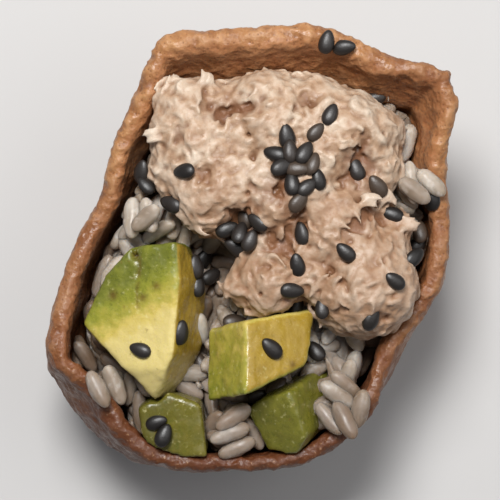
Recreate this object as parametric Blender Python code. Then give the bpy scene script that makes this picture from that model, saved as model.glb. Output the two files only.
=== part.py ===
"""An open-topped inari sushi: a pocket of simmered fried tofu, filled with rice and heaped with tuna
mayonnaise and diced avocado.

+X is to the right, +Y to the back, where the pocket's lip is highest, and +Z up. The origin is the
middle of the flat base. Lengths are in metres and angles in degrees, counted from +X towards +Y.
"""

import math

import bmesh
import bpy
from mathutils import Euler, Vector, noise

MM = 0.001

# The pocket, seen from above: an ellipse with squared shoulders
HALF_WIDTH = 26.8 * MM
HALF_DEPTH = 29.4 * MM
SQUARENESS = 2.3

# Where the mouth swells out of that ellipse, or is pressed in: angle, share of radius, spread.
# The pouch's two side folds make the pointed corners, and its neighbours in the box the hollows.
MOUTH_LOBES = (
    (41.0, 0.21, 12.0),  # corner at the back right
    (71.0, 0.05, 15.0),
    (113.0, 0.06, 9.0),
    (128.0, -0.06, 14.0),
    (156.0, -0.22, 27.0),  # left side, pressed in
    (207.0, 0.10, 9.0),  # corner at the front left
    (224.0, 0.125, 18.0),
    (243.0, 0.055, 14.0),
    (300.0, -0.04, 16.0),
    (327.0, -0.12, 22.0),  # right side, pressed in
)
LOBES_LEFT_AT_BASE = 0.5

# Puckers in the lower wall, where the pouch's flat bottom is gathered in: angle, depth, spread
PUCKERS = (
    (27.0, 1.5 * MM, 7.0),
    (57.0, 1.3 * MM, 7.0),
    (101.0, 0.9 * MM, 8.0),
    (148.0, 1.1 * MM, 9.0),
    (204.0, 1.5 * MM, 7.0),
    (234.0, 1.3 * MM, 7.0),
    (276.0, 1.0 * MM, 9.0),
    (331.0, 1.2 * MM, 8.0),
)
PUCKER_TOP = 0.75

# How far the wall stands back below a lip that folds outward: angle, distance, spread
FLARES = (
    (85.0, 4.0 * MM, 42.0),
    (40.0, 2.0 * MM, 16.0),
)

# How far the lip rolls in over the filling: angle, distance, spread
ROLLS = (
    (225.0, 4.2 * MM, 17.0),
    (325.0, 1.2 * MM, 20.0),
)

# The pocket, seen from the side
WALL_HEIGHT = 25.6 * MM
BACK_RISE = 4.8 * MM
CORNER_RISE = 1.6 * MM
RIM_WAVE = 0.8 * MM
BASE_CORNER = 8.0 * MM
BASE_TUCK = 3.4 * MM
DENT = 0.7 * MM
SKIN = 2.2 * MM
SKIN_AT_RIM = 2.7 * MM

# Where the cut edge is thicker or thinner: angle, extra thickness, spread
RIM_SWELLS = (
    (92.0, 0.9 * MM, 34.0),
    (278.0, -0.6 * MM, 26.0),
)

# The rice, level but for its crown and lumps, with a gap between it and all it touches
GAP = 0.35 * MM
CARVING_GAP = 1.3 * GAP
RICE_EDGE = 23.4 * MM
RICE_CROWN = 1.6 * MM
RICE_LUMP = 0.8 * MM
RICE_LUMP_WIDTH = 4.5 * MM

# Where clumps of rice stand up between the toppings, and where it lies low: middle x and y,
# rise and spread, in mm
RICE_CLUMPS = (
    (-13.8, 4.2, 5.2, 4.2),
    (12.0, -22.0, 4.2, 4.4),
    (-2.6, -24.4, 3.4, 3.0),
    (21.8, 8.2, 4.2, 3.6),
    (-18.6, -18.2, 2.0, 2.6),
    (-5.6, -2.2, -3.4, 3.4),
    (-15.2, 12.0, -2.6, 3.6),
    (18.0, -16.5, -2.6, 3.2),
)

# Heaps of tuna: middle x, y, z, and half sizes across and upright, in mm
TUNA_LUMPS = (
    (-6.6, 16.4, 28.0, 7.4, 6.2),
    (2.5, 17.8, 28.5, 7.2, 6.6),
    (11.0, 15.0, 28.5, 7.6, 6.6),
    (15.6, 11.4, 27.2, 5.2, 5.6),
    (-4.4, 8.0, 28.5, 6.5, 6.0),
    (4.5, 8.0, 30.0, 7.0, 6.0),
    (11.5, 3.4, 28.5, 6.2, 6.2),
    (14.8, -4.0, 28.2, 7.9, 7.0),
    (3.0, -3.4, 28.0, 5.9, 6.2),
    (-10.2, 20.2, 28.0, 3.6, 4.0),
    (-10.6, 11.0, 27.5, 3.4, 4.2),
    (8.6, 20.8, 28.5, 3.4, 4.4),
    (17.6, 16.4, 27.5, 3.2, 4.2),
    (19.6, 3.4, 27.0, 2.6, 3.4),
    (-1.6, -4.2, 27.5, 2.6, 3.6),
    (-5.0, 3.8, 27.5, 3.0, 3.6),
)
TUNA_GRAIN = 1.75 * MM
TUNA_RUFFLE = 1.0 * MM

KNIFE_EDGE = 0.55 * MM
NOISE_SEED = 4

# Mesh density
STEPS_ROUND = 60
STEPS_BASE = 2
STEPS_CORNER = 4
STEPS_WALL = 7
STEPS_WALL_RICE = 5
STEPS_LIP = 4
STEPS_RICE_TOP = 8


def bump(angle, centre, spread):
    """A bell of height 1 round the circle, at an angle of centre."""
    away = (angle - centre + 180.0) % 360.0 - 180.0
    return math.exp(-((away / spread) ** 2))


def bumps(angle, table):
    """The sum of a table's bells, each an angle, a height and a spread."""
    return sum(height * bump(angle, centre, spread) for centre, height, spread in table)


def smooth(x):
    """From 0 to 1 without a kink, as x goes from 0 to 1."""
    x = min(1.0, max(0.0, x))
    return x * x * (3.0 - 2.0 * x)


def outline(angle, lobes=1.0):
    """How far the mouth's outer edge is from the middle, with a share of its lobes."""
    across = abs(math.cos(math.radians(angle))) / HALF_WIDTH
    along = abs(math.sin(math.radians(angle))) / HALF_DEPTH
    radius = (across**SQUARENESS + along**SQUARENESS) ** (-1.0 / SQUARENESS)
    return radius * (1.0 + lobes * bumps(angle, MOUTH_LOBES))


def slant(angle):
    """How much longer a radial step through the wall is than a square one."""
    step = 1.0
    change = (outline(angle + step) - outline(angle - step)) / math.radians(2.0 * step)
    return math.hypot(1.0, change / outline(angle))


def wall_height(angle):
    """Height of the pocket's wall, up to where its lip rounds over."""
    around = math.radians(angle)
    wave = noise.noise(Vector((2.2 * math.cos(around), 2.2 * math.sin(around), 5.0)))
    corners = bump(angle, 41.0, 14.0) + bump(angle, 210.0, 16.0)
    return (
        WALL_HEIGHT
        + BACK_RISE * bump(angle, 88.0, 44.0)
        + CORNER_RISE * corners
        + RIM_WAVE * wave
    )


def wall_point(angle, share):
    """Radius and height on the outer wall, a share of the way up from the base's rounded edge."""
    height = BASE_CORNER + share * (wall_height(angle) - BASE_CORNER)
    lobes = LOBES_LEFT_AT_BASE + (1.0 - LOBES_LEFT_AT_BASE) * smooth(share / 0.6)
    radius = outline(angle, lobes) - BASE_TUCK * (1.0 - share) ** 2
    radius -= bumps(angle, FLARES) * (1.0 - smooth((share - 0.65) / 0.35))
    radius -= bumps(angle, ROLLS) * smooth((share - 0.5) / 0.5)
    radius -= bumps(angle, PUCKERS) * (1.0 - smooth(share / PUCKER_TOP))
    around = math.radians(angle)
    place = Vector((radius * math.cos(around), radius * math.sin(around), height))
    radius += DENT * noise.noise(place / (9.0 * MM))
    return radius, height


def meridian(angle, top=1.0, steps=STEPS_WALL):
    """The outer skin in one upright plane, from the middle of the base up the wall."""
    foot, _ = wall_point(angle, 0.0)
    flat = foot - BASE_CORNER
    line = [(flat * i / STEPS_BASE, 0.0) for i in range(STEPS_BASE + 1)]
    for i in range(1, STEPS_CORNER):
        turn = 0.5 * math.pi * i / STEPS_CORNER
        out = flat + BASE_CORNER * math.sin(turn)
        line.append((out, BASE_CORNER * (1.0 - math.cos(turn))))
    line += [wall_point(angle, top * i / steps) for i in range(steps + 1)]
    return line


def moved_in(line, angle, depths):
    """The line moved square to itself towards the filling, by a depth for each of its points."""
    moved = []
    for i, (radius, height) in enumerate(line):
        before = line[max(i - 1, 0)]
        after = line[min(i + 1, len(line) - 1)]
        run, rise = after[0] - before[0], after[1] - before[1]
        length = math.hypot(run, rise)
        inward, upward = -rise / length, run / length
        radius += depths[i] * inward * slant(angle)
        moved.append((max(radius, 0.0), height + depths[i] * upward))
    return moved


def rim_thickness(angle):
    """Thickness of the skin at its cut edge."""
    return SKIN_AT_RIM + bumps(angle, RIM_SWELLS)


def skin_depths(count, angle):
    """Thickness of the skin at each point of a meridian: it swells towards its cut edge."""
    shares = [i / (count - 1) for i in range(count)]
    return [SKIN + (rim_thickness(angle) - SKIN) * smooth(share) for share in shares]


def lip(outer, inner):
    """Points that round the cut edge over, from the outer skin's end to the inner one's."""
    (outer_last, outer_end), inner_end = outer[-2:], inner[-1]
    middle = ((outer_end[0] + inner_end[0]) / 2, (outer_end[1] + inner_end[1]) / 2)
    out = (outer_end[0] - middle[0], outer_end[1] - middle[1])
    run, rise = outer_end[0] - outer_last[0], outer_end[1] - outer_last[1]
    reach = math.hypot(*out) / math.hypot(run, rise)
    points = []
    for i in range(1, STEPS_LIP):
        turn = math.pi * i / STEPS_LIP
        side, up = math.cos(turn), math.sin(turn) * reach
        points.append(
            (middle[0] + out[0] * side + run * up, middle[1] + out[1] * side + rise * up)
        )
    return points


def rice_level(x, y):
    """Height of the rice's lumpy top."""
    radius = outline(math.degrees(math.atan2(y, x)))
    level = RICE_EDGE + RICE_CROWN * (1.0 - min(1.0, math.hypot(x, y) / radius) ** 2)
    for at_x, at_y, rise, spread in RICE_CLUMPS:
        away = math.hypot(x / MM - at_x, y / MM - at_y) / spread
        level += rise * MM * math.exp(-(away**2))
    return level + RICE_LUMP * noise.noise(Vector((x, y, 0.0)) / RICE_LUMP_WIDTH)


def turned_solid(name, profile):
    """A closed solid from profile(angle), a line from a lower pole on the axis to an upper one."""
    lines = [profile(360.0 * i / STEPS_ROUND) for i in range(STEPS_ROUND)]
    shell = bmesh.new()
    low = shell.verts.new((0.0, 0.0, lines[0][0][1]))
    high = shell.verts.new((0.0, 0.0, lines[0][-1][1]))
    columns = []
    for i, line in enumerate(lines):
        around = math.radians(360.0 * i / STEPS_ROUND)
        column = [
            shell.verts.new((r * math.cos(around), r * math.sin(around), z))
            for r, z in line[1:-1]
        ]
        columns.append([low, *column, high])
    for i, left in enumerate(columns):
        right = columns[(i + 1) % STEPS_ROUND]
        for j in range(len(left) - 1):
            corners = (left[j], right[j], right[j + 1], left[j + 1])
            shell.faces.new(list(dict.fromkeys(corners)))
    bmesh.ops.recalc_face_normals(shell, faces=shell.faces)
    return finished(name, shell)


def finished(name, shell):
    """Turns a bmesh into a named object in the scene."""
    mesh = bpy.data.meshes.new(name)
    shell.to_mesh(mesh)
    shell.free()
    piece = bpy.data.objects.new(name, mesh)
    bpy.context.collection.objects.link(piece)
    return piece


def painted(piece, colour, roughness):
    """Gives a piece its own plain material, shaded smooth but for its knife edges."""
    material = bpy.data.materials.new(piece.name)
    material.use_nodes = True
    shader = material.node_tree.nodes["Principled BSDF"]
    shader.inputs["Base Color"].default_value = (*colour, 1.0)
    shader.inputs["Roughness"].default_value = roughness
    piece.data.materials.append(material)
    piece.data.shade_smooth()
    piece.data.set_sharp_from_angle(angle=math.radians(40.0))
    return piece


def tofu_pocket():
    """The skin: outer face, rounded lip, inner face and floor as one shell."""

    def profile(angle):
        outer = meridian(angle)
        inner = moved_in(outer, angle, skin_depths(len(outer), angle))
        return outer + lip(outer, inner) + inner[::-1]

    return painted(turned_solid("tofu_pocket", profile), (0.42, 0.19, 0.07), 0.55)


def sushi_rice():
    """The rice: it fills the skin, a gap inside it, up to its own lumpy top."""

    def profile(angle):
        around = math.radians(angle)
        edge = outline(angle) - rim_thickness(angle) - GAP
        level = rice_level(edge * math.cos(around), edge * math.sin(around))
        top = (level - BASE_CORNER) / (wall_height(angle) - BASE_CORNER)
        outer = meridian(angle, top, STEPS_WALL_RICE)
        depths = [depth + GAP for depth in skin_depths(len(outer), angle)]
        side = moved_in(outer, angle, depths)
        radius = side[-1][0]
        rings = []
        for i in range(STEPS_RICE_TOP - 1, -1, -1):
            r = radius * i / STEPS_RICE_TOP
            rings.append((r, rice_level(r * math.cos(around), r * math.sin(around))))
        return side + rings

    return painted(turned_solid("sushi_rice", profile), (0.72, 0.66, 0.58), 0.35)


def carve(piece, *others):
    """Cuts from a piece the room that the others take, with a gap round them."""
    for other in others:
        room = other.copy()
        room.data = other.data.copy()
        room.name = f"room_for_{other.name}_in_{piece.name}"
        bpy.context.collection.objects.link(room)
        swell = room.modifiers.new("swell", "DISPLACE")
        swell.strength = CARVING_GAP
        swell.mid_level = 0.0
        room.hide_render = True
        room.display_type = "WIRE"
        cut = piece.modifiers.new(f"cut_{other.name}", "BOOLEAN")
        cut.operation = "DIFFERENCE"
        cut.object = room


def avocado_piece(name, corners, height, tilt, thickness, taper, knife=()):
    """A diced piece: a flat top face with these corners, cut straight down through its thickness.

    Corners are x and y seen from above, height is that of the top face at their middle, and tilt
    is the way the face looks, as rise over run in x and y. Each knife is a further cut, as a
    point in the piece and the direction that is cut away.
    """
    middle_x = sum(x for x, _ in corners) / len(corners)
    middle_y = sum(y for _, y in corners) / len(corners)
    facing = Vector((tilt[0], tilt[1], 1.0)).normalized()
    top = []
    for x, y in corners:
        z = height - (x - middle_x) * tilt[0] - (y - middle_y) * tilt[1]
        top.append(Vector((x, y, z)) * MM)
    middle = sum(top, Vector()) / len(top)
    block = bmesh.new()
    face = block.faces.new([block.verts.new(point) for point in top])
    grown = bmesh.ops.extrude_face_region(block, geom=[face])
    under = [v for v in grown["geom"] if isinstance(v, bmesh.types.BMVert)]
    for v in under:
        v.co = middle + (v.co - middle) * taper - facing * thickness * MM
    for point, away in knife:
        cut_off(block, Vector(point) * MM, Vector(away))
    bmesh.ops.recalc_face_normals(block, faces=block.faces)
    piece = finished(name, block)
    edge = piece.modifiers.new("knife_edge", "BEVEL")
    edge.width = KNIFE_EDGE
    edge.segments = 2
    edge.limit_method = "ANGLE"
    edge.angle_limit = math.radians(20.0)
    return painted(piece, (0.30, 0.32, 0.06), 0.4)


def cut_off(block, point, away):
    """Cuts a closed block along a plane, and closes it again."""
    geom = block.verts[:] + block.edges[:] + block.faces[:]
    cut = bmesh.ops.bisect_plane(
        block, geom=geom, plane_co=point, plane_no=away, clear_outer=True
    )
    edges = [e for e in cut["geom_cut"] if isinstance(e, bmesh.types.BMEdge)]
    bmesh.ops.holes_fill(block, edges=edges)


def avocado_pieces():
    """The four diced pieces that lie at the front, from the left side round to the right."""
    wedge = avocado_piece(
        "avocado_wedge",
        corners=(
            (-9.8, 1.3),
            (-16.1, 0.6),
            (-19.4, -2.9),
            (-22.7, -9.5),
            (-15.8, -16.8),
            (-14.0, -20.1),
            (-12.0, -17.2),
            (-10.2, -13.5),
            (-9.4, -3.7),
        ),
        height=31.2,
        tilt=(-0.40, -0.05),
        thickness=10.5,
        taper=0.96,
        knife=(
            ((-13.5, -15.8, 31.0), (-0.42, -0.80, 1.0)),
            ((-8.4, 1.0, 26.0), (0.94, 0.35, 0.06)),
        ),
    )
    middle = avocado_piece(
        "avocado_middle",
        corners=((-0.7, -9.1), (8.8, -7.4), (7.6, -14.9), (-0.7, -18.9)),
        height=31.8,
        tilt=(0.58, 0.12),
        thickness=10.5,
        taper=1.0,
    )
    front_left = avocado_piece(
        "avocado_front_left",
        corners=(
            (-15.2, -20.6),
            (-11.0, -18.6),
            (-6.6, -20.2),
            (-6.3, -23.0),
            (-5.6, -27.4),
            (-9.8, -27.3),
            (-13.2, -26.2),
            (-14.5, -24.7),
        ),
        height=27.6,
        tilt=(-0.05, -0.15),
        thickness=6.0,
        taper=0.95,
    )
    front_right = avocado_piece(
        "avocado_front_right",
        corners=(
            (-0.8, -21.0),
            (1.2, -19.4),
            (5.0, -18.4),
            (7.2, -24.6),
            (6.0, -26.9),
            (2.4, -27.4),
        ),
        height=27.8,
        tilt=(-0.58, -0.42),
        thickness=11.0,
        taper=1.0,
    )
    carve(front_left, wedge)
    return wedge, middle, front_left, front_right


def tuna_mayonnaise():
    """The tuna: soft lumps heaped on the rice, grown together and roughened."""
    heap = bmesh.new()
    for x, y, z, across, upright in TUNA_LUMPS:
        ball = bmesh.ops.create_icosphere(heap, subdivisions=3, radius=1.0)["verts"]
        for v in ball:
            v.co = Vector((v.co.x * across, v.co.y * across, v.co.z * upright)) * MM
            v.co += Vector((x, y, z)) * MM
            ruffle = noise.noise_vector(v.co / (3.2 * MM))
            v.co += ruffle * TUNA_RUFFLE
    piece = finished("tuna_mayonnaise", heap)
    grow = piece.modifiers.new("grow_together", "REMESH")
    grow.mode = "VOXEL"
    grow.voxel_size = TUNA_GRAIN
    soften = piece.modifiers.new("soften", "SMOOTH")
    soften.iterations = 1
    return painted(piece, (0.50, 0.36, 0.26), 0.6)


def centre_over_base(outermost):
    """Moves everything so that the outermost piece's box stands on the origin."""
    low, high = Vector(outermost.bound_box[0]), Vector(outermost.bound_box[6])
    middle = (low + high) / 2.0
    for thing in bpy.data.objects:
        thing.location -= Vector((middle.x, middle.y, 0.0))


def main():
    for old in list(bpy.data.objects):
        bpy.data.objects.remove(old)
    noise.seed_set(NOISE_SEED)
    skin = tofu_pocket()
    rice = sushi_rice()
    tuna = tuna_mayonnaise()
    avocado = avocado_pieces()
    for piece in avocado:
        carve(piece, skin)
    carve(tuna, rice, skin, *avocado)
    carve(rice, *avocado)
    centre_over_base(skin)


main()
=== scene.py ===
"""The looks of an open-topped inari sushi: wrinkled tofu skin, grains of rice, flaked tuna with
mayonnaise, knife-cut avocado and black sesame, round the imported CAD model.

+X is to the right, +Y to the back and +Z up. Lengths are in metres, through MM.
"""

import math
import random

import bmesh
import bpy
import numpy as np
from mathutils import Matrix, Vector, noise
from mathutils.bvhtree import BVHTree


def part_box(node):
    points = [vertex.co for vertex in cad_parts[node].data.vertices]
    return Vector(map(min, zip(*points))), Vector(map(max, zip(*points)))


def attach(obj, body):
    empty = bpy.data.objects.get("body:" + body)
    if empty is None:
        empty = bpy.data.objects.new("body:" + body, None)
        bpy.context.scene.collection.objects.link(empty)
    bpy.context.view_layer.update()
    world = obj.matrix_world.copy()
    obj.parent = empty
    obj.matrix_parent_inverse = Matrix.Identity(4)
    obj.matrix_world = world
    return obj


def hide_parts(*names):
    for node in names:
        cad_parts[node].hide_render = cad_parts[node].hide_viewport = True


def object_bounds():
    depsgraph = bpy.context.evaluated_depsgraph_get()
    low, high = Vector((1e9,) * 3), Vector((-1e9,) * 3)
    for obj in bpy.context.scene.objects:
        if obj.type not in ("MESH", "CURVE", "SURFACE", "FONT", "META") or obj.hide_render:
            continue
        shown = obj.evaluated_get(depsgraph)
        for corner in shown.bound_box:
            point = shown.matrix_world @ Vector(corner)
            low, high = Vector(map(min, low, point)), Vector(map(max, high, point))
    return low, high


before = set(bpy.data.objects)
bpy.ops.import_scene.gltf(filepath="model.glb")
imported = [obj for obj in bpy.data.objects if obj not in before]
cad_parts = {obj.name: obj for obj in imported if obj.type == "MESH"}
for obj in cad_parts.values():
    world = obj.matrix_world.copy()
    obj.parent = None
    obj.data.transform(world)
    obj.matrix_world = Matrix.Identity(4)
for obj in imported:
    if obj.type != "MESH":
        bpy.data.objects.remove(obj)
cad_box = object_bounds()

MM = 0.001
AVOCADO = ("avocado_wedge", "avocado_middle", "avocado_front_left", "avocado_front_right")
RIM_LEVEL = 27.0 * MM

# Fineness of the meshes
SKIN_STEP = 0.34 * MM
TUNA_STEP = 0.23 * MM
AVOCADO_STEP = 0.36 * MM
RICE_STEP = 0.60 * MM
MOST_TRIANGLES = 190000

# Cooked short-grain rice
GRAIN_LENGTH = (4.6 * MM, 6.2 * MM)
GRAIN_WIDTH = (2.1 * MM, 2.6 * MM)
GRAIN_TRIES = 9000
GRAIN_LAYERS = ((0.9 * MM, 1.7 * MM), (2.2 * MM, 3.2 * MM))
RICE_SUNK = 2.1 * MM
DROP_STEP = 0.2 * MM

# Where the rice lies lower than its CAD solid, in shade: x, y, radius and depth in mm
RICE_HOLLOWS = (
    (-22.4, -10.0, 4.6, 3.4),
    (-23.6, -3.0, 4.0, 3.0),
    (-20.4, 2.0, 2.6, 1.8),
    (-17.4, -16.0, 2.6, 2.4),
    (-5.6, -2.6, 3.4, 3.2),
    (20.0, -13.4, 3.6, 2.6),
)

# Grains that lie on top, on the lip too: x and y in mm, how many, and how far they scatter
RICE_DROPS = (
    (-13.6, 4.2, 6, 2.0),
    (21.8, 8.1, 5, 1.6),
    (-2.8, -24.6, 3, 1.4),
    (12.4, -18.2, 3, 1.3),
    (12.6, -22.6, 4, 1.4),
    (-18.7, -18.3, 2, 0.8),
)
DROP_TRIES = 10
DROP_PILE = 2.6 * MM
LIP_LEVEL = 22.0 * MM

# Flaked tuna
BUNDLE_COUNT = 1500
CRUMB_COUNT = 1800
STRAND_WIDTH = 0.56 * MM
TUNA_SUNK = 0.9 * MM

# Hollows in the tuna: x, y, radius and depth in mm
TUNA_HOLLOWS = (
    (-3.7, 18.5, 2.4, 1.9),
    (0.3, 19.0, 1.7, 1.5),
    (3.1, 7.4, 1.9, 3.0),
    (5.4, 10.6, 2.2, 1.6),
    (14.6, 10.9, 2.6, 2.0),
    (15.9, 5.1, 2.6, 1.6),
    (13.4, 2.5, 1.7, 1.4),
    (10.4, -2.9, 1.4, 1.4),
    (11.5, -8.1, 1.3, 1.5),
    (17.2, -9.5, 1.7, 1.3),
    (-0.2, -2.7, 1.7, 1.3),
    (3.5, 0.2, 2.0, 2.6),
    (5.7, -6.5, 1.6, 2.2),
    (6.1, -2.6, 1.4, 1.5),
    (6.5, 3.5, 1.9, 2.0),
    (-1.6, 3.2, 2.4, 2.4),
    (-6.7, -1.3, 2.6, 3.0),
    (-9.6, 14.6, 1.7, 1.4),
    (7.3, 19.5, 1.6, 1.2),
    (-6.0, 9.0, 1.6, 1.0),
)

# Flake tips that stand out of the tuna: x, y, heading in degrees and length in mm
TUNA_TIPS = (
    (-12.1, 15.1, 190.0, 3.0),
    (-6.1, 21.7, 70.0, 2.8),
    (20.5, 3.5, 350.0, 2.8),
    (-4.1, -4.5, 190.0, 2.8),
    (14.9, 6.3, 2.0, 3.6),
    (17.5, 6.7, 8.0, 2.8),
)

# Black sesame
SEED_LENGTH = 3.2 * MM
SEED_WIDTH = 2.05 * MM
SEED_THICKNESS = 1.1 * MM

# Where the seeds lie: x and y in mm from the pocket's middle, and the way each points in degrees
SEEDS = (
    (10.5, 17.4, 65), (8.6, 15.2, 50), (4.8, 14.6, 100), (3.3, 12.3, 160), (5.2, 12.7, 100),
    (7.1, 12.4, 60), (4.1, 10.6, 30), (6.3, 10.3, 0), (8.2, 10.9, 80), (8.9, 9.0, 100),
    (5.5, 8.4, 90), (7.4, 7.9, 45), (6.3, 6.1, 60), (-8.6, 10.1, 170), (-10.4, 6.0, 150),
    (14.0, 10.6, 110), (16.8, 8.3, 125), (18.9, 4.6, 150), (24.3, 6.8, 90), (22.5, 0.7, 50),
    (22.8, 2.5, 80), (21.6, -1.1, 40), (-3.1, 2.6, 20), (-0.6, 4.1, 90), (1.1, 3.5, 140),
    (-1.3, 2.1, 80), (-0.0, 1.1, 60), (-1.8, 0.3, 150), (6.9, 2.0, 100), (6.2, -2.1, 90),
    (5.5, -5.5, 0), (6.2, -7.3, 80), (9.5, -7.7, 95), (12.5, -0.5, 140), (18.9, -4.3, 150),
    (16.8, 20.4, 20), (15.8, -9.2, 70), (-6.4, -1.0, 60), (-7.3, -2.3, 100), (-5.4, -3.4, 30),
    (-7.0, -4.8, 80), (-2.1, -9.6, 10), (-14.3, 10.4, 70), (-13.9, 8.5, 130), (-14.4, -13.3, 160),
    (-9.2, -11.0, 88), (-6.7, -15.2, 100), (2.8, -13.1, 150), (8.7, -13.4, 130),
    (-12.4, -22.9, 20), (-11.4, -24.6, 70), (3.6, -18.3, 40), (1.1, -19.4, 15), (10.1, 27.2, 75),
    (12.4, 26.6, 20),
)


# ---------------------------------------------------------------------------------- mesh tools


def joined_mesh(node):
    """A CAD node's mesh with its split corners joined."""
    shell = bmesh.new()
    shell.from_mesh(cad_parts[node].data)
    bmesh.ops.remove_doubles(shell, verts=shell.verts, dist=0.0001 * MM)
    return shell


def tree_of(*nodes):
    """A search tree of some CAD nodes together."""
    points, faces = [], []
    for node in nodes:
        shell = joined_mesh(node)
        first = len(points)
        points += [v.co.copy() for v in shell.verts]
        faces += [[first + v.index for v in face.verts] for face in shell.faces]
        shell.free()
    return BVHTree.FromPolygons(points, faces)


def tree_of_piece(piece):
    """A search tree of a finished piece."""
    mesh = piece.data
    return BVHTree.FromPolygons(
        [v.co for v in mesh.vertices], [tuple(face.vertices) for face in mesh.polygons]
    )


def object_from(name, points, faces):
    """A new object in the scene from points and faces."""
    mesh = bpy.data.meshes.new(name)
    mesh.from_pydata([tuple(p) for p in points], [], [tuple(int(i) for i in f) for f in faces])
    mesh.update()
    piece = bpy.data.objects.new(name, mesh)
    bpy.context.scene.collection.objects.link(piece)
    return piece


def remeshed(piece, step):
    """The piece's surface on an even grid, as arrays of points and four-sided faces."""
    grid = piece.modifiers.new("even", "REMESH")
    grid.mode = "VOXEL"
    grid.voxel_size = step
    found = piece.evaluated_get(bpy.context.evaluated_depsgraph_get()).to_mesh()
    points = np.empty(len(found.vertices) * 3)
    found.vertices.foreach_get("co", points)
    faces = np.empty(len(found.loops), int)
    found.loops.foreach_get("vertex_index", faces)
    bpy.data.objects.remove(piece)
    return points.reshape(-1, 3), faces.reshape(-1, 4)


def even_mesh(node, step):
    """A CAD node's surface on an even grid."""
    shell = joined_mesh(node)
    mesh = bpy.data.meshes.new(node)
    shell.to_mesh(mesh)
    shell.free()
    piece = bpy.data.objects.new(f"{node}_copy", mesh)
    bpy.context.scene.collection.objects.link(piece)
    return remeshed(piece, step)


def neighbours_mean(points, faces):
    """For every point, the mean of the points that it shares an edge with."""
    ends = np.concatenate([faces, np.roll(faces, -1, axis=1)], axis=None)
    starts = np.concatenate([np.roll(faces, -1, axis=1), faces], axis=None)
    count = np.bincount(ends, minlength=len(points))
    sums = [np.bincount(ends, points[starts, k], len(points)) for k in range(3)]
    return np.stack(sums, axis=1) / count[:, None]


def eased(points, faces, rounds, give=0.5, back=-0.53):
    """Smooths out facets and steps, and swells back after each pass so that nothing shrinks."""
    for _ in range(rounds):
        for share in (give, back):
            points = points + share * (neighbours_mean(points, faces) - points)
    return points


def softened(points, faces, rounds):
    """Plain smoothing, which also rounds edges."""
    for _ in range(rounds):
        points = points + 0.5 * (neighbours_mean(points, faces) - points)
    return points


def normals_of(points, faces):
    """Unit normals at the points of a mesh of four-sided faces."""
    across = points[faces[:, 2]] - points[faces[:, 0]]
    along = points[faces[:, 3]] - points[faces[:, 1]]
    square = np.cross(across, along)
    total = np.zeros_like(points)
    for k in range(3):
        total[:, k] = sum(np.bincount(faces[:, j], square[:, k], len(points)) for j in range(4))
    return total / np.maximum(np.linalg.norm(total, axis=1), 1e-15)[:, None]


def crevice_at(points, faces, rounds):
    """How far each point lies below the smoothed surface round it, in mm: above it is negative."""
    smooth = softened(points, faces, rounds)
    return ((smooth - points) * normals_of(smooth, faces)).sum(axis=1) / MM


def noise_at(points, width, shift=0.0, stretch=(1.0, 1.0, 1.0)):
    """Smooth noise of about -1 to 1 at each point, its lumps about a width across."""
    scaled = points / (np.array(stretch) * width) + shift
    return np.array([noise.noise(Vector(p)) for p in scaled])


def ridges_at(points, width, shift=0.0, stretch=(1.0, 1.0, 1.0)):
    """Noise of 0 to 1 with sharp crests, as in wrinkles."""
    return 1.0 - np.minimum(1.0, 2.2 * np.abs(noise_at(points, width, shift, stretch)))


def hollow_at(table, x, y):
    """How deep the hollows in a table are at a place."""
    return sum(
        depth * np.exp(-((x / MM - at_x) ** 2 + (y / MM - at_y) ** 2) / radius**2)
        for at_x, at_y, radius, depth in table
    ) * MM


def bell(distance, spread):
    """1 at no distance, falling away over a spread."""
    return np.exp(-((distance / spread) ** 2))


def thinned(piece, most=MOST_TRIANGLES):
    """Merges the flattest faces of a piece, until it has no more triangles than most."""
    count = sum(len(face.vertices) - 2 for face in piece.data.polygons)
    if count <= most:
        return
    fewer = piece.modifiers.new("fewer", "DECIMATE")
    fewer.ratio = most / count
    found = piece.evaluated_get(bpy.context.evaluated_depsgraph_get())
    mesh = bpy.data.meshes.new_from_object(found)
    piece.modifiers.clear()
    piece.data = mesh


def finish_piece(name, points, faces, material, replaced=(), values=None):
    """Makes the piece with its per-point values, paints it, and joins it to the frame."""
    piece = object_from(name, points, faces)
    for key, value in (values or {}).items():
        layer = piece.data.attributes.new(key, "FLOAT", "POINT")
        layer.data.foreach_set("value", np.asarray(value, np.float32))
    thinned(piece)
    piece.data.shade_smooth()
    piece.data.materials.append(material)
    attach(piece, "root")
    if replaced:
        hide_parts(*replaced)
    return piece


# ------------------------------------------------------------------------------ material tools


def srgb(red, green, blue):
    """A colour given as 0 to 255 on screen, as the shader wants it."""
    shares = [value / 255.0 for value in (red, green, blue)]
    light = [s / 12.92 if s <= 0.04045 else ((s + 0.055) / 1.055) ** 2.4 for s in shares]
    return (*light, 1.0)


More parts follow.
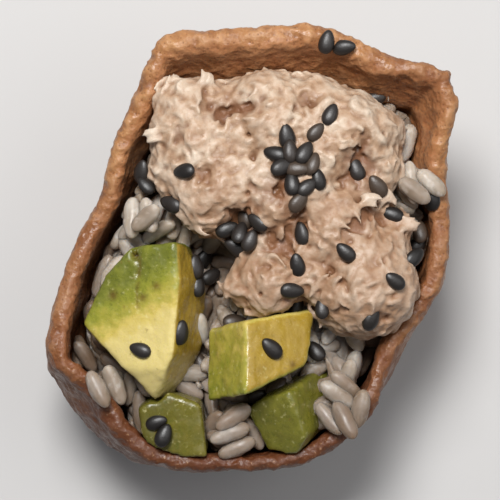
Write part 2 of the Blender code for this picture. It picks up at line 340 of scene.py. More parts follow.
class Paint:
    """A Principled material, built up node by node."""

    def __init__(self, name, **sockets):
        self.material = bpy.data.materials.new(name)
        self.material.use_nodes = True
        self.tree = self.material.node_tree
        self.shader = self.tree.nodes["Principled BSDF"]
        for socket, value in sockets.items():
            self.shader.inputs[socket.replace("_", " ")].default_value = value
        self.place = self.tree.nodes.new("ShaderNodeTexCoord").outputs["Object"]

    def _set(self, socket, value):
        if isinstance(value, bpy.types.NodeSocket):
            self.tree.links.new(value, socket)
        else:
            socket.default_value = value

    def noise(self, width, detail=3.0, roughness=0.55, stretch=None):
        """A noise texture of 0 to 1, its lumps about a width across."""
        node = self.tree.nodes.new("ShaderNodeTexNoise")
        self._set(node.inputs["Vector"], self.stretched(stretch) if stretch else self.place)
        node.inputs["Scale"].default_value = 1.0 / width
        node.inputs["Detail"].default_value = detail
        node.inputs["Roughness"].default_value = roughness
        return node.outputs["Fac"]

    def cells(self, width, feature="F1"):
        """A cell texture: the distance from the nearest cell's middle."""
        node = self.tree.nodes.new("ShaderNodeTexVoronoi")
        node.feature = feature
        self._set(node.inputs["Vector"], self.place)
        node.inputs["Scale"].default_value = 1.0 / width
        return node.outputs["Distance"]

    def stretched(self, stretch):
        node = self.tree.nodes.new("ShaderNodeMapping")
        self._set(node.inputs["Vector"], self.place)
        node.inputs["Scale"].default_value = [1.0 / s for s in stretch]
        return node.outputs["Vector"]

    def value(self, key):
        """The piece's own value at each point."""
        node = self.tree.nodes.new("ShaderNodeAttribute")
        node.attribute_name = key
        return node.outputs["Fac"]

    def math(self, operation, first, second=0.0, clamp=False):
        node = self.tree.nodes.new("ShaderNodeMath")
        node.operation = operation
        node.use_clamp = clamp
        self._set(node.inputs[0], first)
        self._set(node.inputs[1], second)
        return node.outputs[0]

    def band(self, value, low, high, out_low=0.0, out_high=1.0):
        """Turns low..high into out_low..out_high, and no further."""
        node = self.tree.nodes.new("ShaderNodeMapRange")
        for socket, number in zip(node.inputs, (value, low, high, out_low, out_high)):
            self._set(socket, number)
        return node.outputs["Result"]

    def ramp(self, value, *stops):
        """Colours along a value: each stop is a place from 0 to 1 and a colour."""
        node = self.tree.nodes.new("ShaderNodeValToRGB")
        self._set(node.inputs["Fac"], value)
        marks = node.color_ramp.elements
        while len(marks) < len(stops):
            marks.new(0.5)
        for mark, (at, colour) in zip(marks, stops):
            mark.position = at
            mark.color = colour
        return node.outputs["Color"]

    def mixed(self, share, first, second, blend="MIX"):
        """Two colours mixed by a share."""
        node = self.tree.nodes.new("ShaderNodeMix")
        node.data_type = "RGBA"
        node.blend_type = blend
        self._set(node.inputs["Factor"], share)
        self._set(node.inputs[6], first)
        self._set(node.inputs[7], second)
        return node.outputs[2]

    def bump(self, height, strength, distance, onto=None):
        node = self.tree.nodes.new("ShaderNodeBump")
        self._set(node.inputs["Height"], height)
        node.inputs["Strength"].default_value = strength
        node.inputs["Distance"].default_value = distance
        if onto is not None:
            self._set(node.inputs["Normal"], onto)
        return node.outputs["Normal"]

    def use(self, **sockets):
        for socket, value in sockets.items():
            self._set(self.shader.inputs[socket.replace("_", " ")], value)
        return self.material


# -------------------------------------------------------------------------------------- skin


def tofu_paint():
    """Simmered tofu skin: soft brown, blotched, paler on its wrinkles and cut edge, with painted
    shade in the wrinkle troughs, toward the front, low down and at the back-right ear.
    """
    paint = Paint("simmered_tofu", Subsurface_Weight=0.10, Subsurface_Scale=1.0 * MM)
    paint.shader.inputs["Subsurface Radius"].default_value = (1.0, 0.45, 0.2)
    paint.shader.inputs["IOR"].default_value = 1.45
    blotches = paint.noise(6.0 * MM, 5.0, 0.6)
    brown = paint.ramp(
        blotches,
        (0.28, srgb(104, 60, 32)),
        (0.44, srgb(140, 90, 50)),
        (0.58, srgb(162, 112, 68)),
        (0.74, srgb(178, 132, 88)),
    )
    mottle = paint.noise(1.5 * MM, 4.0, 0.65)
    brown = paint.mixed(paint.band(mottle, 0.54, 0.70, 0.0, 0.45), brown, srgb(200, 152, 104))
    brown = paint.mixed(paint.band(mottle, 0.45, 0.30, 0.0, 0.55), brown, srgb(98, 52, 28))
    relief = paint.value("relief")
    brown = paint.mixed(paint.band(relief, 0.60, 1.0, 0.0, 0.6), brown, srgb(196, 152, 108))
    # Painted shade in the wrinkle troughs.
    brown = paint.mixed(paint.band(relief, 0.42, 0.05), brown, srgb(96, 52, 28))
    edge = paint.math("MULTIPLY", paint.value("edge"), 0.25)
    brown = paint.mixed(edge, brown, srgb(190, 140, 94))
    inside = paint.math("MULTIPLY", paint.value("inside"), 0.55)
    brown = paint.mixed(inside, brown, srgb(168, 112, 74))
    # Painted shade: darker toward the front, low down and at the back-right ear, with a small even
    # share over the whole skin.
    painted_shade = paint.math("MULTIPLY", paint.value("painted_shade"), 0.82)
    brown = paint.mixed(painted_shade, brown, srgb(100, 50, 24))
    # Painted shade, darker still at the front.
    shade = paint.math("MULTIPLY", paint.value("front"), 0.55)
    brown = paint.mixed(shade, brown, srgb(64, 29, 14))
    pores = paint.cells(0.62 * MM)
    fine = paint.noise(0.4 * MM, 3.0, 0.6)
    pits = paint.band(pores, 0.28, 0.10, 0.0, 0.55)
    brown = paint.mixed(pits, brown, srgb(92, 50, 26))
    grain = paint.band(fine, 0.60, 0.75, 0.0, 0.35)
    brown = paint.mixed(grain, brown, srgb(214, 172, 128))
    normal = paint.bump(pores, 0.6, 0.16 * MM)
    normal = paint.bump(fine, 0.6, 0.12 * MM, normal)
    wet = paint.band(paint.noise(2.6 * MM), 0.38, 0.62, 0.34, 0.58)
    return paint.use(Base_Color=brown, Roughness=wet, Normal=normal)


def rim_heights(steps=120):
    """The pocket's lip height by angle round its middle, from the CAD skin."""
    shell = joined_mesh("tofu_pocket")
    points = np.array([v.co[:] for v in shell.verts])
    shell.free()
    angles = np.degrees(np.arctan2(points[:, 1], points[:, 0])) % 360.0
    heights = np.zeros(steps)
    for i in range(steps):
        away = np.abs((angles - 360.0 * i / steps + 180.0) % 360.0 - 180.0)
        heights[i] = points[away < 4.0, 2].max()
    return heights


def below_lip(points, heights):
    """How far each point is below the lip at its own angle."""
    angles = np.degrees(np.arctan2(points[:, 1], points[:, 0])) % 360.0
    steps = np.linspace(0.0, 360.0, len(heights) + 1)
    return np.interp(angles, steps, np.append(heights, heights[0])) - points[:, 2]


def tofu_skin():
    """The pocket's skin, wrinkled and blistered, most of all along its cut edge."""
    points, faces = even_mesh("tofu_pocket", SKIN_STEP)
    points = eased(points, faces, 30)
    normal = normals_of(points, faces)
    below = below_lip(points, rim_heights())
    radial = points[:, :2] / np.maximum(np.linalg.norm(points[:, :2], axis=1), 1e-9)[:, None]
    facing = (normal[:, :2] * radial).sum(axis=1)
    inside = np.clip(-facing * 1.5 + 0.1, 0.0, 1.0) * (points[:, 2] > 3.0 * MM)
    edge = bell(np.maximum(below, 0.0), 2.8 * MM)
    broad = noise_at(points, 5.0 * MM, 3.0)
    folds = ridges_at(points, 3.4 * MM, 11.0, (1.0, 1.0, 2.2))
    wrinkle = ridges_at(points, 1.9 * MM, 19.0)
    crumple = ridges_at(points, 1.05 * MM, 29.0)
    blister = 0.5 + 0.5 * noise_at(points, 0.8 * MM, 47.0)
    relief = 0.38 * folds + 0.32 * wrinkle + 0.18 * crumple + 0.12 * blister
    relief = np.clip(1.25 * relief, 0.0, 1.0)
    depth = (0.40 + 0.22 * edge) * MM
    flat_foot = 1.0 - bell(points[:, 2], 1.2 * MM)
    move = (0.25 * MM * broad + depth * (relief - 0.66)) * flat_foot
    points = points + normal * move[:, None]
    points[:, 2] = np.maximum(points[:, 2], 0.0)
    # Where the painted shade falls: toward the front, low down and at the back-right ear.
    side = np.clip((13.0 * MM - points[:, 1]) / (12.0 * MM), 0.0, 1.0)
    front = np.clip((-points[:, 1] - 10.0 * MM) / (13.0 * MM), 0.0, 1.0)
    low = np.clip((20.0 * MM - points[:, 2]) / (18.0 * MM), 0.0, 1.0)
    ear = bell(np.linalg.norm(points[:, :2] - cad_box[1].xy * 0.88, axis=1), 8.0 * MM)
    return finish_piece(
        "tofu_skin", points, faces, tofu_paint(), ("tofu_pocket",),
        {
            "relief": relief,
            "edge": edge,
            "inside": inside,
            "front": front,
            "painted_shade": np.clip(
                0.18 + 0.45 * side + 0.35 * front + 0.35 * low + 0.5 * ear, 0.0, 1.0
            ),
        },
    )


# -------------------------------------------------------------------------------------- rice


def rice_paint(name):
    """Cooked rice: moist, a little see-through, stained by the tofu's broth, and darkened by
    painted shade where its tone is low.
    """
    paint = Paint(name, Subsurface_Weight=0.8, Subsurface_Scale=2.0 * MM)
    paint.shader.inputs["Subsurface Radius"].default_value = (1.0, 0.8, 0.6)
    paint.shader.inputs["IOR"].default_value = 1.42
    colour = paint.ramp(
        paint.noise(5.0 * MM, 3.0),
        (0.32, srgb(136, 121, 104)),
        (0.48, srgb(164, 152, 138)),
        (0.66, srgb(186, 178, 168)),
    )
    chalky = paint.band(paint.noise(1.1 * MM, 3.0), 0.54, 0.70, 0.0, 0.45)
    colour = paint.mixed(chalky, colour, srgb(208, 202, 194))
    # Low tone mixes in a dark brown: a stain that differs at random, and painted shade at the
    # front, deep down and on the core.
    stain_and_shade = paint.band(paint.value("tone"), 0.0, 0.8, 0.74, 0.0)
    colour = paint.mixed(stain_and_shade, colour, srgb(92, 67, 46))
    normal = paint.bump(paint.noise(0.6 * MM, 3.0), 0.4, 0.1 * MM)
    wet = paint.band(paint.noise(1.2 * MM), 0.35, 0.7, 0.32, 0.56)
    return paint.use(Base_Color=colour, Normal=normal, Roughness=wet)


def grain_shape(length, width, bend, seed, rings=12, sides=12):
    """A grain about the origin along X: blunt, bent, a little flat, and uneven."""
    points, faces = [(-length / 2, 0.0, 0.0)], []
    for i in range(1, rings):
        t = -math.cos(math.pi * i / rings)
        girth = (1.0 - abs(t) ** 2.5) ** 0.5 * width / 2
        girth *= 1.0 + 0.05 * t
        lift = bend * (t * t - 0.4)
        for j in range(sides):
            turn = 2.0 * math.pi * j / sides
            side, up = math.cos(turn), math.sin(turn)
            uneven = 1.0 + 0.17 * noise.noise(Vector((2.2 * t + seed, 1.3 * side, 1.3 * up)))
            points.append(
                (t * length / 2, uneven * girth * side, 0.86 * uneven * girth * up + lift)
            )
    points.append((length / 2, 0.0, 0.0))
    last = len(points) - 1
    for j in range(sides):
        k = (j + 1) % sides
        faces.append((0, 1 + k, 1 + j))
        faces.append((last, last - sides + j, last - sides + k))
        for i in range(rings - 2):
            a, b = 1 + i * sides, 1 + (i + 1) * sides
            faces.append((a + j, a + k, b + k, b + j))
    return points, faces


def frame_along(direction, up):
    """A rotation that puts X along a direction and Z as near as it can to up."""
    x = direction.normalized()
    y = up.cross(x).normalized()
    z = x.cross(y)
    return Matrix((x, y, z)).transposed()


def gap_between(start, end, starts, ends):
    """The least distance from one segment to each of many, by points along them."""
    shares = np.linspace(0.0, 1.0, 5)[:, None]
    mine = start + shares * (end - start)
    theirs = starts[:, None] + shares[None] * (ends - starts)[:, None]
    apart = mine[None, :, None] - theirs[:, None]
    return np.sqrt((apart**2).sum(axis=-1)).min(axis=(1, 2))


def is_covered(tree, point):
    """Whether a topping lies over a point."""
    return tree.ray_cast(Vector((point.x, point.y, 0.1)), Vector((0, 0, -1)))[0] is not None


class Grains:
    """The grains placed so far, each as a segment with a width."""

    def __init__(self):
        self.starts, self.ends, self.widths = np.empty((0, 3)), np.empty((0, 3)), np.empty(0)
        self.points, self.faces, self.tones = [], [], []

    def overlap(self, middle, half, width, share):
        """Whether a new grain would run into one of these."""
        if not len(self.widths):
            return False
        start, end = np.array(middle - half), np.array(middle + half)
        apart = gap_between(start, end, self.starts, self.ends)
        return bool((apart < share * (width + self.widths)).any())

    def add(self, middle, turned, half, length, width, bend):
        """Keeps a grain, and makes its mesh."""
        self.starts = np.vstack([self.starts, middle - half])
        self.ends = np.vstack([self.ends, middle + half])
        self.widths = np.append(self.widths, width)
        shape, sides = grain_shape(length, width, bend, 3.7 * len(self.widths))
        first = len(self.points)
        self.points += [middle + turned @ Vector(p) for p in shape]
        self.faces += [[first + i for i in side] for side in sides]
        self.tones += [(0.618 * len(self.widths)) % 1.0] * len(shape)


def packed_grains(grains, rng):
    """Grains packed side by side over the rice, wherever it shows, in layers."""
    rice, skin = tree_of("sushi_rice"), tree_of("tofu_pocket")
    toppings = tree_of("tuna_mayonnaise", *AVOCADO)
    low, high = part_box("sushi_rice")
    reach = [Vector((2.6 * MM * math.cos(a), 2.6 * MM * math.sin(a), 0)) for a in range(6)]
    for shallow, deep in GRAIN_LAYERS:
        for _ in range(GRAIN_TRIES):
            above = Vector((rng.uniform(low.x, high.x), rng.uniform(low.y, high.y), 0.1))
            length, width = rng.uniform(*GRAIN_LENGTH), rng.uniform(*GRAIN_WIDTH)
            turn, tip = rng.uniform(0, math.pi), rng.gauss(0, 0.22)
            depth, bend = rng.uniform(shallow, deep), rng.uniform(0.1, 0.55) * MM
            spot, normal, _, _ = rice.ray_cast(above, Vector((0, 0, -1)))
            if spot is None or normal.z < 0.2:
                continue
            if all(is_covered(toppings, spot + step) for step in reach):
                continue
            flat = Vector((math.cos(turn), math.sin(turn), 0))
            along = (flat - normal * flat.dot(normal)).normalized() + normal * tip
            turned = frame_along(along, normal)
            middle = spot - normal * depth
            middle.z -= hollow_at(RICE_HOLLOWS, spot.x, spot.y)
            half = turned @ Vector(((length - width) / 2, 0, 0))
            ends = (middle - half, middle, middle + half)
            if any(skin.find_nearest(point)[3] < 0.42 * width for point in ends):
                continue
            if not grains.overlap(middle, half, width, 0.32):
                grains.add(middle, turned, half, length, width, bend)


def resting_place(grains, bed, place, half, width):
    """Lowers a grain until it touches, or says None where nothing would hold it."""
    for point in (place - half, place, place + half):
        below = bed.ray_cast(Vector((point.x, point.y, 0.1)), Vector((0, 0, -1)))[0]
        if below is None or below.z < LIP_LEVEL:
            return None
        lowest = below.z if point == place - half else min(lowest, below.z)
    place.z = cad_box[1].z - width
    while place.z > LIP_LEVEL:
        ends = (place - half, place, place + half)
        if any(bed.find_nearest(point)[3] < 0.34 * width for point in ends):
            break
        if grains.overlap(place, half, width, 0.31):
            break
        place.z -= DROP_STEP
    return place if place.z < lowest + DROP_PILE else None


def dropped_grains(grains, rng):
    """Grains that come down on the rice, the lip and each other, each where it lies lowest."""
    bed = tree_of("sushi_rice", "tofu_pocket", "tuna_mayonnaise", *AVOCADO)
    for x, y, count, scatter in RICE_DROPS:
        for _ in range(count):
            lowest = None
            for _ in range(DROP_TRIES):
                away, side = scatter * rng.uniform(0.0, 1.8), rng.uniform(0, 2 * math.pi)
                place = Vector((x + away * math.cos(side), y + away * math.sin(side), 0)) * MM
                length, width = rng.uniform(*GRAIN_LENGTH), rng.uniform(*GRAIN_WIDTH)
                turn, bend = rng.uniform(0, math.pi), rng.uniform(0.1, 0.55) * MM
                along = Vector((math.cos(turn), math.sin(turn), rng.gauss(0, 0.2)))
                turned = frame_along(along, Vector((0, 0, 1)))
                half = turned @ Vector(((length - width) / 2, 0, 0))
                rest = resting_place(grains, bed, place, half, width)
                if rest is not None and (lowest is None or rest.z < lowest[0].z):
                    lowest = (rest, turned, half, length, width, bend)
            if lowest is not None:
                grains.add(*lowest)


def rice_core():
    """What the grains lie on: the CAD rice, sunk below them."""
    points, faces = even_mesh("sushi_rice", RICE_STEP)
    points = softened(points, faces, 8)
    normal = normals_of(points, faces)
    lumps = ridges_at(points, 2.4 * MM, 5.0)
    sunk = 0.8 * MM * (1.0 - lumps) + RICE_SUNK * (normal[:, 2] > -0.5)
    points = points - normal * sunk[:, None]
    hollow = hollow_at(RICE_HOLLOWS, points[:, 0], points[:, 1])
    points[:, 2] -= hollow * np.clip(points[:, 2] / (8.0 * MM) - 1.0, 0.0, 1.0)
    points = softened(points, faces, 3)
    # The core's low tone paints it dark brown: painted shade in the gaps between the grains.
    return finish_piece(
        "rice_core", points, faces, rice_paint("rice_core"), ("sushi_rice",),
        {"tone": np.full(len(points), 0.25)},
    )


def rice_tone_and_shade(points, tones):
    """How clean each grain is, at random, with painted shade: grains at the front and deep down are
    painted darker.
    """
    places = np.array([p[:] for p in points]) / MM
    front = np.clip((-10.0 - places[:, 1]) / 12.0, 0.0, 1.0)
    deep = np.clip((24.5 - places[:, 2]) / 3.0, 0.0, 1.0)
    painted_shade = np.maximum(0.9 * front, deep)
    return np.array(tones) * (1.0 - 0.85 * painted_shade) + 0.35 * (1.0 - painted_shade)


def rice_grains():
    """The grains that show."""
    rng = random.Random(5)
    grains = Grains()
    packed_grains(grains, rng)
    dropped_grains(grains, rng)
    return finish_piece(
        "rice_grains", grains.points, grains.faces, rice_paint("rice_grain"), (),
        {"tone": rice_tone_and_shade(grains.points, grains.tones)},
    )


# -------------------------------------------------------------------------------------- tuna


def tuna_paint():
    """Flaked tuna bound with mayonnaise: creamy pink-brown, with painted shade in its hollows,
    crevices and toward the front, and painted highlights on its tops and crests.
    """
    paint = Paint("flaked_tuna", Subsurface_Weight=0.12, Subsurface_Scale=0.8 * MM)
    paint.shader.inputs["Subsurface Radius"].default_value = (1.0, 0.75, 0.55)
    patches = paint.noise(3.6 * MM, 4.0, 0.6)
    flesh = paint.ramp(
        patches,
        (0.30, srgb(144, 110, 82)),
        (0.46, srgb(172, 141, 114)),
        (0.60, srgb(188, 165, 142)),
        (0.74, srgb(204, 186, 166)),
    )
    height = paint.value("height")
    # Painted shade low in the hollows, painted highlight on the tops.
    flesh = paint.mixed(paint.band(height, 0.52, 0.14), flesh, srgb(118, 78, 52))
    flesh = paint.mixed(paint.band(height, 0.64, 0.95, 0.0, 0.5), flesh, srgb(210, 196, 178))
    crevice = paint.value("crevice")
    # Painted shade in the crevices, painted highlight on the crests.
    flesh = paint.mixed(paint.band(crevice, 0.50, 0.90, 0.0, 0.9), flesh, srgb(112, 76, 50))
    flesh = paint.mixed(paint.band(crevice, 0.42, 0.05, 0.0, 0.3), flesh, srgb(208, 194, 176))
    # Painted shade toward the front.
    front = paint.math("MULTIPLY", paint.value("front"), 0.36)
    flesh = paint.mixed(front, flesh, srgb(138, 98, 68))
    streaks = paint.noise(0.7 * MM, 4.0, 0.65)
    brown = paint.band(streaks, 0.55, 0.70, 0.0, 0.42)
    flesh = paint.mixed(brown, flesh, srgb(146, 104, 76))
    normal = paint.bump(paint.noise(0.42 * MM, 3.0, 0.6), 0.6, 0.16 * MM)
    wet = paint.band(paint.noise(1.4 * MM), 0.35, 0.65, 0.38, 0.62)
    return paint.use(Base_Color=flesh, Roughness=wet, Normal=normal)


def strand_tube(points, faces, turned, middle, length, width, curl, sway, offset, rings=9):
    """Adds one blunt-ended strand along X, bent by curl and sway, to the points and faces."""
    first, sides = len(points), 6
    for i in range(rings):
        t = -math.cos(math.pi * (i + 0.35) / (rings - 0.3))
        girth = max(0.40, 1.0 - abs(t) ** 6) ** 0.5 * width / 2
        y = offset[1] + sway * (t * t - 0.33)
        z = offset[2] + curl * (t * t - 0.33)
        for j in range(sides):
            turn = 2.0 * math.pi * j / sides
            place = (
                offset[0] + t * length / 2,
                y + girth * math.cos(turn),
                z + girth * math.sin(turn),
            )
            points.append(middle + turned @ Vector(place))
    for i in range(rings - 1):
        for j in range(sides):
            k = (j + 1) % sides
            a, b = first + i * sides, first + (i + 1) * sides
            faces.append((a + j, a + k, b + k, b + j))
    last = first + (rings - 1) * sides
    faces.append(tuple(first + j for j in reversed(range(sides))))
    faces.append(tuple(last + j for j in range(sides)))


def flake_bundle(rng, points, faces, turned, middle, length, strands):
    """Adds a flake of fish: strands side by side that bend together and tuck their ends in."""
    curl = -abs(rng.gauss(0.12, 0.07)) * length
    sway = rng.gauss(0, 0.22) * length
    for i in range(strands):
        offset = (
            rng.gauss(0, 0.10) * length,
            (i - (strands - 1) / 2) * 0.84 * STRAND_WIDTH,
            rng.gauss(0, 0.09) * MM - 0.05 * MM * (i - (strands - 1) / 2) ** 2,
        )
        reach = length * rng.uniform(0.7, 1.0)
        width = STRAND_WIDTH * rng.uniform(0.9, 1.25)
        strand_tube(points, faces, turned, middle, reach, width, curl, sway, offset)




def area_sampler(shell, rng):
    """A function that gives a random place on a mesh, with its normal, evenly by area."""
    triangles = [face for face in shell.faces if face.normal.z > -0.35]
    areas = np.cumsum([face.calc_area() for face in triangles])

    def place():
        face = triangles[int(np.searchsorted(areas, rng.random() * areas[-1]))]
        a, b, c = (v.co for v in face.verts)
        u, w = rng.random(), rng.random()
        if u + w > 1.0:
            u, w = 1.0 - u, 1.0 - w
        return a + (b - a) * u + (c - a) * w, face.normal.copy()

    return place


def tuna_flakes():
    """Flakes and crumbs of tuna laid over a core, as loose shapes."""
    rng = random.Random(23)
    shell = joined_mesh("tuna_mayonnaise")
    bmesh.ops.triangulate(shell, faces=shell.faces)
    shell.normal_update()
    place = area_sampler(shell, rng)
    points = [
        v.co - v.normal * (TUNA_SUNK + hollow_at(TUNA_HOLLOWS, v.co.x, v.co.y)) for v in shell.verts
    ]
    faces = [[v.index for v in face.verts] for face in shell.faces]
    for number in range(BUNDLE_COUNT + CRUMB_COUNT):
        spot, normal = place()
        swirl = 5.0 * noise.noise(spot / (9.0 * MM) + Vector((3, 5, 7)))
        crumb = number >= BUNDLE_COUNT
        turn = rng.uniform(0, 2 * math.pi) if crumb else swirl * 2.0 + rng.gauss(0, 0.8)
        lean = Vector((rng.gauss(0, 0.08), rng.gauss(0, 0.08), rng.gauss(0, 0.08)))
        up = (normal + lean).normalized()
        flat = Vector((math.cos(turn), math.sin(turn), 0.05))
        along = (flat - up * flat.dot(up)).normalized()
        turned = frame_along(along, up)
        sunk = rng.uniform(0.25, 0.85) * MM + hollow_at(TUNA_HOLLOWS, spot.x, spot.y)
        if crumb:
            length, strands = rng.uniform(0.8, 1.8) * MM, rng.choice((1, 1, 2))
        else:
            length, strands = rng.uniform(1.8, 4.2) * MM, rng.randint(2, 4)
        middle = spot - normal * sunk
        flake_bundle(rng, points, faces, turned, middle, length, strands)
    shell.free()
    heap = tree_of("tuna_mayonnaise")
    for x, y, heading, length in TUNA_TIPS:
        spot, normal, _, _ = heap.ray_cast(Vector((x * MM, y * MM, 0.1)), Vector((0, 0, -1)))
        if spot is None:
            continue
        turn = math.radians(heading)
        flat = Vector((math.cos(turn), math.sin(turn), 0.12))
        up = (normal * 0.4 + Vector((0, 0, 1))).normalized()
        turned = frame_along((flat - up * flat.dot(up)).normalized(), up)
        middle = spot + flat * 0.25 * length * MM - up * 0.25 * MM
        flake_bundle(rng, points, faces, turned, middle, length * MM, 4)
    return object_from("tuna_flakes", points, faces)


def tuna_heap():
    """The tuna: flakes and crumbs grown into one soft mass with its mayonnaise."""
    points, faces = remeshed(tuna_flakes(), TUNA_STEP)
    points, faces = largest_body(points, faces)
    points = softened(points, faces, 1)
    mayo = 0.10 * noise_at(points, 0.9 * MM, 7.0) + 0.08 * noise_at(points, 2.1 * MM, 17.0)
    points = points + normals_of(points, faces) * (mayo * MM)[:, None]
    smooth = tree_of("tuna_mayonnaise")
    height = np.array([height_over(smooth, Vector(p)) for p in points]) / MM
    crevice = crevice_at(points, faces, 12) + 0.5 * crevice_at(points, faces, 60)
    points[:, 2] = np.minimum(points[:, 2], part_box("tuna_mayonnaise")[1].z)
    return finish_piece(
        "tuna_heap", points, faces, tuna_paint(), ("tuna_mayonnaise",),
        # height, crevice and front carry the painted shade and highlights.
        {
            "height": np.clip((height + 1.6) / 2.2, 0.0, 1.0),
            "crevice": np.clip(0.5 + crevice / 0.8, 0.0, 1.0),
            "front": np.clip((12.0 * MM - points[:, 1]) / (10.0 * MM), 0.0, 1.0),
        },
    )


def height_over(tree, point):
    """How far a point is outside a closed surface, or below zero inside it."""
    near, normal, _, distance = tree.find_nearest(point)
    return distance if (point - near).dot(normal) > 0.0 else -distance


def largest_body(points, faces):
    """Drops loose crumbs, and keeps the points and faces of the largest connected body."""
    label = np.arange(len(points))
    while True:
        least = label[faces].min(axis=1)
        before = label.copy()
        for j in range(4):
            np.minimum.at(label, faces[:, j], least)
        label = label[label]
        if (label == before).all():
            break
    main = np.bincount(label[faces[:, 0]]).argmax()
    kept = label == main
    number = np.cumsum(kept) - 1
    return points[kept], number[faces[kept[faces[:, 0]]]]


# ------------------------------------------------------------------------------------ avocado


def avocado_paint(name, shade_share):
    """Avocado flesh: green by the skin, yellow to cream inside, wet and knife-smooth."""
    paint = Paint(name, Subsurface_Weight=0.2, Subsurface_Scale=1.4 * MM)
    paint.shader.inputs["Subsurface Radius"].default_value = (0.8, 0.9, 0.3)
    wander = paint.band(paint.noise(1.8 * MM, 5.0, 0.6), 0.3, 0.7, -0.13, 0.13)
    depth = paint.math("ADD", paint.value("depth"), wander)
    flesh = paint.ramp(
        depth,
        (0.0, srgb(100, 104, 34)),
        (0.28, srgb(132, 133, 46)),
        (0.48, srgb(160, 150, 62)),
        (0.64, srgb(190, 170, 88)),
        (0.86, srgb(202, 184, 118)),
    )
    # Painted shade: the front pieces are painted darker olive.
    flesh = paint.mixed(shade_share, flesh, srgb(78, 66, 24))
    ochre = paint.mixed(paint.noise(2.4 * MM, 4.0), srgb(132, 106, 34), srgb(176, 146, 54))
    flesh = paint.mixed(paint.value("ochre"), flesh, ochre)
    marks = paint.band(paint.noise(1.0 * MM, 4.0, 0.65), 0.64, 0.72, 0.0, 0.5)
    flesh = paint.mixed(marks, flesh, srgb(116, 90, 34))
    green = paint.band(depth, 0.15, 0.55, 0.55, 0.0)
    specks = paint.band(paint.noise(0.55 * MM, 3.0, 0.7), 0.54, 0.66)
    flesh = paint.mixed(paint.math("MULTIPLY", green, specks), flesh, srgb(72, 80, 22))
    pale = paint.band(paint.noise(0.7 * MM, 3.0, 0.6), 0.60, 0.72, 0.0, 0.35)
    flesh = paint.mixed(pale, flesh, srgb(212, 204, 150))
    flesh = paint.mixed(paint.value("bruise"), flesh, srgb(92, 66, 26))
    normal = paint.bump(paint.noise(0.5 * MM, 3.0), 0.45, 0.12 * MM)
    normal = paint.bump(paint.noise(1.8 * MM, 2.0), 0.4, 0.3 * MM, normal)
    wet = paint.band(paint.noise(2.0 * MM), 0.35, 0.65, 0.18, 0.42)
    return paint.use(Base_Color=flesh, Roughness=wet, Normal=normal)


def share_along(points, node, towards):
    """How far each point is through a node's box along a direction, from 0 to 1."""
    low, high = (np.array(corner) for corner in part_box(node))
    axis = np.array(towards) / np.linalg.norm(towards)
    across = (high - low) * axis
    return ((points - low) @ axis - np.minimum(across, 0.0).sum()) / np.abs(across).sum()


def from_line(points, start, end):
    """Distance seen from above between each point and a line from start to end, in mm."""
    start, end = np.array(start), np.array(end)
    flat = points[:, :2] / MM
    share = np.clip((flat - start) @ (end - start) / ((end - start) @ (end - start)), 0.0, 1.0)
    return np.linalg.norm(flat - start - share[:, None] * (end - start), axis=1)


def avocado_chunk(node, towards, start, end, shade_share=0.0, ochre_way=None, splits=(), spots=()):
    """One diced piece.

    The flesh turns from green to cream along towards, between the shares start and end, and the
    share after end paints it darker olive, as painted shade. Faces that look along ochre_way are
    ochre.
    Splits are lines that open in its top, and spots are brown marks, as x, y and radius in mm.
    """
    points, faces = even_mesh(node, AVOCADO_STEP)
    points = softened(eased(points, faces, 3), faces, 2)
    normal = normals_of(points, faces)
    depth = np.clip((share_along(points, node, towards) - start) / (end - start), 0.0, 1.0)
    ochre = np.zeros(len(points))
    if ochre_way is not None:
        way = np.array(ochre_way) / np.linalg.norm(ochre_way)
        ochre = np.clip((normal @ way - 0.80) / 0.12, 0.0, 1.0)
    bruise = np.zeros(len(points))
    dents = 0.16 * noise_at(points, 3.4 * MM, 9.0) + 0.08 * noise_at(points, 1.0 * MM, 31.0)
    strayed = points + 0.9 * MM * noise_at(points, 2.0 * MM, 71.0)[:, None]
    for line_start, line_end, opening in splits:
        width = 0.26 + 0.2 * opening
        crack = bell(from_line(strayed, line_start, line_end), width) * (normal[:, 2] > 0.3)
        dents = dents - opening * crack
        bruise = np.maximum(bruise, (0.45 + 0.4 * opening) * crack)
    for x, y, radius in spots:
        bruise = np.maximum(bruise, 0.8 * bell(from_line(points, (x, y), (x, y + 0.01)), radius))
    points = points + normal * (dents * MM)[:, None]
    return finish_piece(
        f"{node}_flesh", points, faces, avocado_paint(node, shade_share), (node,),
        {"depth": depth, "ochre": ochre, "bruise": np.clip(bruise, 0.0, 1.0)},
    )


def avocado_chunks():
    """The four pieces, from the left side round to the right."""
    return [
        avocado_chunk(
            "avocado_wedge", (0.45, -0.90, 0.0), 0.26, 0.60, ochre_way=(0.90, 0.0, 0.40),
            splits=(
                ((-15.0, 1.8), (-15.0, -0.4), 1.3),
                ((-15.0, -0.6), (-14.8, -3.6), 0.3),
                ((-14.8, -4.6), (-15.1, -8.0), 0.15),
            ),
            spots=((-18.1, -6.1, 0.6), (-12.3, -4.9, 0.5), (-14.1, -6.4, 0.5)),
        ),
        avocado_chunk(
            "avocado_middle", (0.2, 1.0, 0.2), -0.6, 1.7, ochre_way=(0.5, 0.1, 0.86),
            spots=((5.6, -15.2, 0.4),),
        ),
        avocado_chunk("avocado_front_left", (1.0, 0.2, 0.0), -0.1, 2.6, shade_share=0.7),
        avocado_chunk("avocado_front_right", (0.6, 0.6, 0.4), -0.1, 2.8, shade_share=0.52),
    ]


# ------------------------------------------------------------------------------------- sesame


def sesame_paint():
    """Black sesame: charcoal with a dull shine, each seed a little different."""
    paint = Paint("black_sesame")
    tone = paint.ramp(
        paint.value("tone"),
        (0.0, srgb(22, 19, 17)),
        (0.7, srgb(38, 33, 30)),
        (0.9, srgb(62, 50, 40)),
    )
    normal = paint.bump(paint.noise(0.35 * MM, 2.0), 0.4, 0.06 * MM)
    return paint.use(Base_Color=tone, Roughness=0.42, Normal=normal)


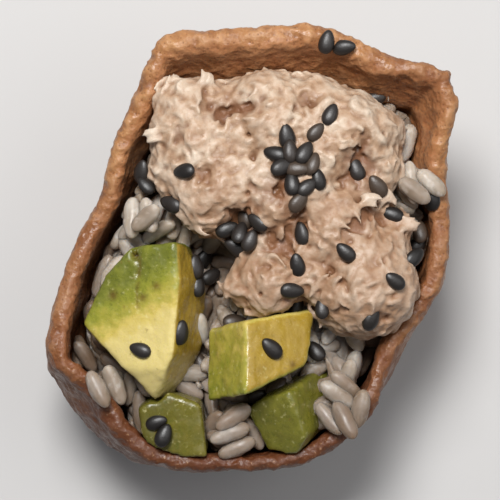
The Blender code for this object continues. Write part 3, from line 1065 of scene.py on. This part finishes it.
def seed_shape(rings=9, sides=10):
    """A sesame seed along X: a flattened drop."""
    points, faces = [(-SEED_LENGTH / 2, 0.0, 0.0)], []
    for i in range(1, rings):
        t = -math.cos(math.pi * i / rings)
        girth = (1.0 - t * t) ** 0.5 * (1.0 - 0.2 * t)
        for j in range(sides):
            turn = 2.0 * math.pi * j / sides
            points.append(
                (
                    t * SEED_LENGTH / 2,
                    girth * SEED_WIDTH / 2 * math.cos(turn),
                    girth * SEED_THICKNESS / 2 * math.sin(turn),
                )
            )
    points.append((SEED_LENGTH / 2, 0.0, 0.0))
    last = len(points) - 1
    for j in range(sides):
        k = (j + 1) % sides
        faces.append((0, 1 + k, 1 + j))
        faces.append((last, last - sides + j, last - sides + k))
        for i in range(rings - 2):
            a, b = 1 + i * sides, 1 + (i + 1) * sides
            faces.append((a + j, a + k, b + k, b + j))
    return points, faces


def sesame_seeds(pieces):
    """Seeds dropped onto the pieces and each other at the places that SEEDS gives."""
    rng = random.Random(3)
    trees = [tree_of_piece(piece) for piece in pieces]
    shape, sides = seed_shape()
    points, faces, tones, laid = [], [], [], []
    for x, y, heading in SEEDS:
        above = Vector((x * MM, y * MM, 0.1))
        hits = [tree.ray_cast(above, Vector((0, 0, -1))) for tree in trees]
        hits = [hit for hit in hits if hit[0] is not None]
        turn, tip = math.radians(heading) + rng.gauss(0, 0.1), rng.gauss(0, 0.15)
        size, tone = rng.uniform(0.9, 1.08), rng.random()
        if not hits:
            continue
        spot, normal, _, _ = max(hits, key=lambda hit: hit[0].z)
        up = (normal + Vector((0, 0, 2.0))).normalized()
        flat = Vector((math.cos(turn), math.sin(turn), 0))
        along = (flat - up * flat.dot(up)).normalized() + up * tip
        turned = frame_along(along, up)
        middle = spot + up * 0.34 * SEED_THICKNESS
        for other in laid:
            if (other - middle).xy.length < 0.62 * SEED_LENGTH:
                middle.z = max(middle.z, other.z + 0.5 * SEED_THICKNESS)
        middle.z = min(middle.z, cad_box[1].z - 0.5 * SEED_THICKNESS)
        laid.append(middle)
        first = len(points)
        points += [middle + turned @ (Vector(p) * size) for p in shape]
        faces += [[first + i for i in side] for side in sides]
        tones += [tone] * len(shape)
    return finish_piece(
        "sesame_seeds", points, faces, sesame_paint(), (), {"tone": tones}
    )


# ------------------------------------------------------------------------- floor, light, camera


def floor_and_light():
    """A plain pale floor, a soft key light from the back and a pale surround."""
    floor = object_from(
        "floor", [(-2, -2, 0), (2, -2, 0), (2, 2, 0), (-2, 2, 0)], [(0, 1, 2, 3)]
    )
    floor.location.z = -0.05 * MM
    paint = Paint("floor", Roughness=0.7)
    floor.data.materials.append(paint.use(Base_Color=srgb(188, 186, 184)))
    for name, place, size, power in (
        ("key", (-0.05, 0.18, 0.46), 0.16, 3.05),
        ("fill", (0.32, 0.05, 0.42), 0.4, 0.7),
    ):
        lamp = bpy.data.lights.new(name, "AREA")
        lamp.size = size
        lamp.energy = power
        lamp_object = bpy.data.objects.new(name, lamp)
        bpy.context.scene.collection.objects.link(lamp_object)
        lamp_object.location = place
        lamp_object.rotation_euler = (-Vector(place)).to_track_quat("-Z", "Y").to_euler()
    world = bpy.data.worlds.new("surround")
    world.use_nodes = True
    world.node_tree.nodes["Background"].inputs["Color"].default_value = (0.9, 0.93, 1.0, 1.0)
    world.node_tree.nodes["Background"].inputs["Strength"].default_value = 0.19
    bpy.context.scene.world = world
    bpy.context.scene.view_settings.view_transform = "Standard"


def camera():
    """Looks straight down but for two degrees, as over a lunch pack."""
    middle = (cad_box[0] + cad_box[1]) / 2
    lens = bpy.data.cameras.new("camera")
    lens.lens = 200.0
    elevation, distance = math.radians(88.0), 0.37
    eye = bpy.data.objects.new("camera", lens)
    bpy.context.scene.collection.objects.link(eye)
    away = Vector((0.0, -math.cos(elevation), math.sin(elevation)))
    eye.location = Vector((middle.x, middle.y, RIM_LEVEL)) + away * distance
    eye.rotation_euler = (math.pi / 2 - elevation, 0.0, 0.0)
    bpy.context.scene.camera = eye


def main():
    skin = tofu_skin()
    core = rice_core()
    grains = rice_grains()
    tuna = tuna_heap()
    chunks = avocado_chunks()
    sesame_seeds([skin, core, grains, tuna, *chunks])
    floor_and_light()
    camera()


main()
